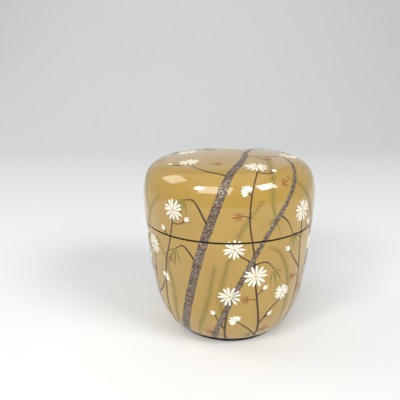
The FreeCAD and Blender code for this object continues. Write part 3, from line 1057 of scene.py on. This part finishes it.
# %% Stems and twigs
stem_stops = [
    # The tall stem at the front right, its side shoots, and on over the seam to the dome.
    [(18, 98, 0.85), (19, 88, 0.75), (16, 77, 0.65), (13, 67, 0.55)],
    [(18.5, 85, 0.6), (26, 79, 0.5), (33, 76, 0.42)],
    [(18.5, 92, 0.6), (11, 87, 0.5), (5, 84, 0.42)],
    [(13, 66, 0.55), (11, 55, 0.5), (8, 44, 0.45), (10, 34, 0.42), (18, 26, 0.35)],
    # The front, between the culms.
    [(-5, 98, 0.8), (-6.5, 89, 0.7), (-5, 80, 0.6), (-3.5, 74, 0.5)],
    [(-6.3, 87, 0.5), (-10, 83.5, 0.4), (-12, 81, 0.34)],
    [(12.5, 62, 0.5), (8, 58, 0.45), (3, 56, 0.38)],
    # The right side.
    [(46, 98, 0.85), (51, 84, 0.7), (51, 70, 0.6), (47, 58, 0.52), (46, 47, 0.45)],
    [(51.5, 76, 0.5), (59, 68, 0.45), (64, 61, 0.4)],
    [(50, 66, 0.45), (42, 61, 0.4), (38, 58, 0.35)],
    # The left side, and behind the bamboo to the lid.
    [(-66, 98, 0.85), (-68, 86, 0.7), (-65, 73, 0.6), (-61, 61, 0.5)],
    [(-66, 79, 0.5), (-57, 75, 0.45), (-52, 71, 0.38)],
    [(-67, 90, 0.5), (-75, 83, 0.45), (-80, 77, 0.4)],
    [(-56, 98, 0.75), (-54, 82, 0.6), (-48, 64, 0.52), (-41, 52, 0.45), (-38, 45, 0.4)],
    # Twigs of the bamboo.
    [(-22.5, 60, 0.6), (-31, 54, 0.5), (-37.5, 55.5, 0.22)],
    [(-15, 46, 0.6), (-23, 38, 0.5), (-29.5, 37.5, 0.22)],
    [(9, 60, 0.5), (19, 59, 0.42), (25.5, 62.5, 0.22)],
    [(27, 43, 0.5), (33, 46, 0.42), (37.5, 50.5, 0.2)],
    [(-3, 29, 0.6), (-22, 26, 0.48), (-43, 22, 0.22)],
    [(30, 11, 0.5), (60, 16, 0.4), (83, 21, 0.22)],
    # The left rear.
    [(-104, 98, 0.85), (-108, 84, 0.7), (-104, 70, 0.6), (-100, 58, 0.5)],
    [(-106, 78, 0.5), (-116, 71, 0.45), (-121, 66, 0.4)],
    [(-101, 56, 0.5), (-99, 46, 0.45), (-102, 38, 0.4)],
    [(-128, 98, 0.8), (-126, 84, 0.65), (-130, 70, 0.55), (-138, 58, 0.45), (-142, 46, 0.4)],
    # The back and the right rear.
    [(84, 98, 0.85), (88, 84, 0.7), (94, 72, 0.6), (98, 61, 0.5)],
    [(90, 80, 0.5), (82, 74, 0.45), (78, 68, 0.4)],
    [(98, 59, 0.5), (104, 48, 0.45), (112, 40, 0.4)],
    [(118, 98, 0.8), (120, 84, 0.7), (126, 74, 0.6), (128, 66, 0.5)],
    [(121, 82, 0.5), (112, 78, 0.42), (107, 75, 0.38)],
    [(176, 57, 0.5), (186, 60, 0.42), (192.5, 66.5, 0.22)],
    [(206, 98, 0.85), (208, 84, 0.7), (203, 70, 0.6), (200, 58, 0.5), (199, 51, 0.42)],
    [(206, 78, 0.5), (214, 72, 0.45), (220, 69, 0.4)],
    [(166, 74, 0.5), (156, 72, 0.42), (149.5, 75.5, 0.22)],
    [(183, 43, 0.5), (174, 38, 0.42), (167.5, 39.5, 0.22)],
    [(187, 36, 0.5), (178, 27, 0.44), (170, 20, 0.36)],
    [(199, 23, 0.5), (212, 19, 0.44), (228, 17, 0.4), (240, 17, 0.36)]]
stems = [smooth_path(stops) * (1, 1, 1, 1.3) for stops in stem_stops]

# %% [markdown]
# Flowers, buds and leaves: angle, distance, turn clockwise from up, size and tilt. A tilt below 1 shows a
# flower a little from the side.

# %% Places for flowers, buds and leaves
open_flowers = [
    (-3, 71.5, -6, 1.06), (-0.5, 53.5, -30, 0.96), (13, 64, 5, 1.14), (34.5, 73, 30, 0.94, 0.9),
    (46, 43.5, 8, 1.08), (65.5, 58.5, 24, 0.92, 0.92), (-60.5, 57.5, -10, 1.04),
    (-37.5, 41.5, -6, 1.02), (20, 23, 20, 1.04), (-48, 20, -30, 0.98), (86, 23, 80, 0.96),
    (-101, 54.5, 12, 1.06), (-103, 35, 5, 1.0), (-143.5, 43, -12, 1.08), (99, 57.5, 14, 1.1),
    (114, 37.5, 25, 1.0), (129, 62.5, 6, 1.0, 0.9), (199, 47, -6, 1.04), (222, 66.5, 32, 0.94),
    (-112, 17, -110, 1.0), (168, 17, 160, 1.0)]
side_flowers = [
    (3, 83, -52, 0.98), (-81, 75.5, -34, 0.95), (-51, 69.5, 40, 0.82), (-122, 64.5, -36, 1.0),
    (77, 66.5, -22, 0.92), (106, 74, -62, 0.9), (201, 69, -60, 0.9), (8, 35, -42, 0.84)]
buds = [
    (-12.5, 80, -36, 1.08), (37, 57, -48, 1.2), (24, 82, 46, 1.08), (-71, 66, -30, 1.14),
    (68, 65.5, 48, 0.96), (-45, 50, -40, 1.08), (18, 70, 52, 1.08), (53, 50, 44, 1.14),
    (-30, 45, 48, 1.02), (27, 28, 60, 1.08), (-56, 25, -80, 1.08), (-94, 60, 46, 1.08),
    (-96, 42, 50, 1.14), (-134, 52, 40, 1.08), (104, 66, 42, 1.08), (112, 50, 55, 1.08),
    (207, 60, 42, 1.14), (134, 70, 44, 1.08), (-69.5, 56, -28, 1.08)]
rust_leaves = [
    (-16, 90, -70, 1.18), (23, 89, 105, 1.23), (9, 73, -98, 1.01), (57, 76, 95, 1.06),
    (44, 68, -90, 0.95), (-73, 70, -95, 1.01), (-58, 86, -100, 1.06), (-44, 60, 92, 0.9),
    (30, 33, 70, 0.95), (-12, 19, -70, 1.06), (44, 17, 135, 1.01), (3, 42, -105, 0.95),
    (-112, 80, -96, 1.12), (-96, 66, 90, 1.01), (98, 80, 98, 1.06), (116, 88, -92, 1.01),
    (212, 80, 100, 1.12), (198, 62, -95, 1.01), (-134, 64, 80, 0.95), (-80, 26, -90, 1.01),
    (130, 28, 120, 1.01), (-140, 26, -140, 1.01)]
green_leaves = [
    (14, 91, -100, 0.95), (52, 90, 95, 0.85), (-63, 92, 80, 0.9), (42, 52, -80, 0.8),
    (20, 45, 95, 0.75), (-100, 88, 85, 0.95), (-104, 47, -85, 0.8), (90, 92, 95, 0.9),
    (204, 90, -90, 0.9), (126, 78, 80, 0.8)]
bamboo_places = [
    (-37.5, 55.5, 205, 0.92), (-29.5, 37.5, 214, 0.84), (25.5, 62.5, 160, 0.8),
    (37.5, 50.5, 158, 0.72), (-43, 22, 262, 0.8), (83, 21, 110, 0.8), (192.5, 66.5, 158, 0.9),
    (149.5, 75.5, 204, 0.85), (167.5, 39.5, 205, 0.8), (120, 25, 250, 0.7), (140, 19.5, 190, 0.8),
    (216, 15, 8, 0.75)]
print("open flowers", len(open_flowers), "half open", len(side_flowers), "buds", len(buds),
      "leaves", len(rust_leaves) + len(green_leaves) + 4 * len(bamboo_places))

# %% [markdown]
# Flowers, buds and leaves hang on stalks. A stalk leaves the nearest stem that grows towards its flower and
# bends into the direction the flower faces. A leaf that has no stem in reach is a fallen one.

# %% Stalks
stem_points = np.concatenate([path[:, :3] for path in stems])
stem_ways = np.concatenate([np.gradient(path[:, :3], axis=0) for path in stems])
stem_ways /= np.linalg.norm(stem_ways, axis=1)[:, None]


least_lean = 0.4
touching = 0.4 * mm
out_of_reach = 1.0


def stalk(place, root_width, tip_width, reach=7.5):
    """A list of one short line from the stems to a place, or an empty one where no stem is in reach."""
    tip = np.array(spot(*place[:2]))
    gaps = tip - stem_points
    away = np.linalg.norm(gaps, axis=1)
    cost = np.where(np.sum(gaps * stem_ways, axis=1) > least_lean * away, away, out_of_reach)
    nearest = np.argmin(cost)
    if away.min() < touching or cost[nearest] > reach * mm:
        return []
    bend = tip - np.array(upward(*place[:3])) * cost[nearest] / 2
    t = np.linspace(0, 1, 8)[:, None]
    line = stem_points[nearest] * (1 - t)**2 + bend * 2 * t * (1 - t) + tip * t**2
    return [np.hstack([line, (root_width + (tip_width - root_width) * t) * mm])]


stalks = [line for place in open_flowers + side_flowers + buds for line in stalk(place, 0.5, 0.42)]
stalks += [line for place in rust_leaves + green_leaves for line in stalk(place, 0.36, 0.26, 5.5)]
print("stalks", len(stalks))

# %% [markdown]
# The grass stands behind the flowers and arches over them in long soft plumes, in green gold so fine that
# it reads as a haze.

# %% Places for the grass
foot_line = 98
plume_stops = [
    [(-84, 98), (-83, 78), (-73, 58), (-60, 44), (-50, 38)],
    [(-52, 98), (-45, 84), (-43, 72), (-48, 60), (-55, 54)],
    [(-2, 98), (-8, 84), (-8, 68), (-1, 53), (8, 43), (15, 38)],
    [(34, 98), (40, 84), (38, 68), (29, 57), (21, 54)],
    [(62, 98), (68, 78), (66, 60), (58, 45), (46, 35), (36, 31)],
    [(74, 98), (80, 82), (88, 66), (98, 54), (106, 51)],
    [(-30, 98), (-26, 88), (-18, 76), (-14, 66), (-12, 60)],
    [(58, 98), (60, 86), (70, 72), (76, 60), (78, 52)],
    [(-62, 50), (-66, 40), (-80, 31), (-100, 26)],
    [(28, 50), (22, 40), (24, 31), (36, 22), (56, 17)],
    [(-94, 98), (-90, 80), (-92, 62), (-98, 48), (-106, 42)],
    [(-118, 98), (-116, 80), (-124, 60), (-134, 46), (-146, 38)],
    [(104, 98), (108, 82), (116, 66), (128, 52), (140, 47)],
    [(140, 98), (142, 82), (138, 66), (128, 54), (118, 51)],
    [(174, 98), (184, 82), (192, 64), (196, 50), (194, 40)],
    [(218, 98), (222, 80), (232, 62), (244, 50), (254, 46)],
    [(228, 98), (234, 84), (236, 70), (232, 58), (226, 52)],
    [(92, 42), (100, 34), (114, 27), (138, 24)], [(206, 40), (214, 32), (232, 25), (258, 22)]]


def with_widths(stops):
    """A plume's stops with widths: pressed where it leaves the foot, even on its way, fine at the tip."""
    widths = ([0.34] if stops[0][1] == foot_line else []) + [0.26, 0.26, 0.24]
    widths += [0.16] if len(stops) == len(widths) + 1 else [0.2, 0.14]
    return [(*stop, width) for stop, width in zip(stops, widths)]


plumes = [smooth_path(with_widths(stops)) for stops in plume_stops]
print("plumes", len(plumes))

# %% [markdown]
# Every kind of stroke is now laid, each a little higher than what it covers: grass, stems, leaves, bamboo,
# then white petals, and on the petals their green lines and gold hearts.

# %% Lay the decoration
def motifs_at(*sets):
    """Jobs that set motifs on the form, from names, places and motifs."""
    return [(setter, place_mesh(name, places), {"Motif": drawn}) for name, places, drawn in sets]


barbs = {"Barb": barb_line, "Spacing": 0.62 * mm, "Start": 0.16}
lay("grass_plumes", green_gold, 0.03, [(plume, line_mesh("plumes", plumes), barbs)], sides=5)
lay("stems", line_brown, 0.045, [(brush, line_mesh("stems", stems + stalks), {})])
lay("bamboo_culms", silvered_brown, 0.055, [(brush, line_mesh("culms", culm_lengths), {})],
    step=0.7, sides=12)
lay("bamboo_joints", line_brown, 0.065, [(brush, line_mesh("joints", culm_marks), {})], step=0.3)
lay("bamboo_leaves", green_gold, 0.05,
    motifs_at(("bamboo_leaves", bamboo_places, bamboo_leaves),
              ("green_leaves", green_leaves, lobed_leaf)), sides=8)
lay("rust_leaves", rust_red, 0.048,
    motifs_at(("rust_leaves", rust_leaves, lobed_leaf)), step=0.4, sides=8)
lay("white_petals", shell_white, 0.07,
    motifs_at(("open", open_flowers, open_petals),
              ("side", side_flowers, side_petals),
              ("buds", buds, bud_petals)), step=0.35, sides=8)
lay("petal_lines", pale_green, 0.084,
    motifs_at(("open", open_flowers, open_lines),
              ("side", side_flowers, side_lines)), step=0.4, sides=5)
lay("flower_hearts", gold_powder, 0.095,
    motifs_at(("open", open_flowers, open_heart)), step=0.12)
lay("flower_cups", green_gold, 0.09,
    motifs_at(("side", side_flowers, side_cup)), step=0.3)
lay("bud_cups", dark_red, 0.09,
    motifs_at(("buds", buds, bud_cup)), step=0.15)

# The guides and the motifs have done their work.
for helper in [o for o in bpy.data.objects if o.hide_render and not o.get("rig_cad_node")]:
    bpy.data.objects.remove(helper)

# %% [markdown]
# The studio is a pale floor and soft boxes. Where each box hangs comes from the photograph: a highlight
# on the round shoulder is a mirror image, so the direction of its light follows from its place on the
# form. Sizes and powers were then matched to the picture. One hangs to the right and high, one broad one
# in front to the left with a small lamp at its edge, and a weaker one at the far left. A wide ceiling,
# dim for its size, lights the dome.

# %% Lamps
target = Vector((0, 0, 40 * mm))


def soft_box(name, azimuth, elevation, distance, width, height, watts, colour):
    """A rectangular lamp that faces the caddy from a direction, in degrees from the front and up."""
    lamp = bpy.data.lights.new(name, "AREA")
    lamp.shape = "RECTANGLE"
    lamp.size = width
    lamp.size_y = height
    lamp.energy = watts
    lamp.color = linear(colour)[:3]
    a, e = math.radians(azimuth), math.radians(elevation)
    way = Vector((math.sin(a) * math.cos(e), -math.cos(a) * math.cos(e), math.sin(e)))
    facing = way.to_track_quat("Z", "Y").to_matrix().to_4x4()
    link_object(name, lamp).matrix_world = Matrix.Translation(target + way * distance) @ facing


lamps = [
    # Name, azimuth and elevation, distance, width and height in metres, watts, colour.
    ("right_box", 53, 36, 0.9, 0.35, 0.29, 4.5, "FFFFFF"),
    ("front_box", -23, 34, 0.9, 0.66, 0.45, 3.9, "FFFFFF"),
    ("front_lamp", -46, 35.5, 0.9, 0.17, 0.17, 1.7, "FFFFFF"),
    ("left_box", -102, 41, 0.9, 0.40, 0.40, 1.6, "FFFCF6"),
    ("ceiling", 0, 90, 1.6, 2.0, 2.0, 5.4, "FFFFFF")]
for lamp in lamps:
    soft_box(*lamp)
print("lamps", [lamp[0] for lamp in lamps])

# %% [markdown]
# The floor is a sheet of paper that curves up behind the caddy, so no line shows where it ends. Its
# measures are in metres.

# %% Floor
floor_front = -0.7
floor_back = 0.45
floor_turn = 0.5
floor_top = 2.0
floor_half_width = 0.8
wall = floor_back + floor_turn
sheet = follow(at(floor_front, 0), at(floor_back, 0),
               (at(floor_back, floor_turn), at(wall, floor_turn)), at(wall, floor_top))
floor_mesh = bpy.data.meshes.new("floor")
edges = (-floor_half_width, floor_half_width)
floor_mesh.from_pydata([(x, p.real, p.imag) for p in sheet for x in edges], [],
                       [(2 * k, 2 * k + 1, 2 * k + 3, 2 * k + 2) for k in range(len(sheet) - 1)])
floor_mesh.shade_smooth()
floor = link_object("floor", floor_mesh)
paper, tree, place = start_material("pale_paper")
tooth = add(tree, "ShaderNodeTexNoise", {"Vector": place, "Scale": per(1.5 * mm), "Detail": 3})
surface(tree, linear("ECEDED"), 0.7, tooth, 0.02 * mm)
floor_mesh.materials.append(paper)
print("floor from", floor_front, "to", wall, "m and up to", floor_top, "m")

# %% [markdown]
# The world is pale for everything that looks at it directly, the camera and the mirror in the gloss, and
# gives only a little fill light.

# %% World
world = bpy.data.worlds.new("studio")
world.use_nodes = True
bpy.context.scene.world = world
tree = world.node_tree
tree.nodes.clear()
rays = add(tree, "ShaderNodeLightPath").node.outputs
direct = rays["Is Camera Ray"]
for kind in ("Is Glossy Ray", "Is Transmission Ray"):
    direct = add(tree, "ShaderNodeMath", {0: direct, 1: rays[kind]}, {"operation": "MAXIMUM"})
seen = add(tree, "ShaderNodeBackground", {"Color": linear("D8D8D5"), "Strength": 0.88})
fill = add(tree, "ShaderNodeBackground", {"Color": linear("EDEEF2"), "Strength": 0.16})
shown = add(tree, "ShaderNodeMixShader", {0: direct, 1: fill, 2: seen})
add(tree, "ShaderNodeOutputWorld", {"Surface": shown})
bpy.context.scene.view_settings.view_transform = "Standard"
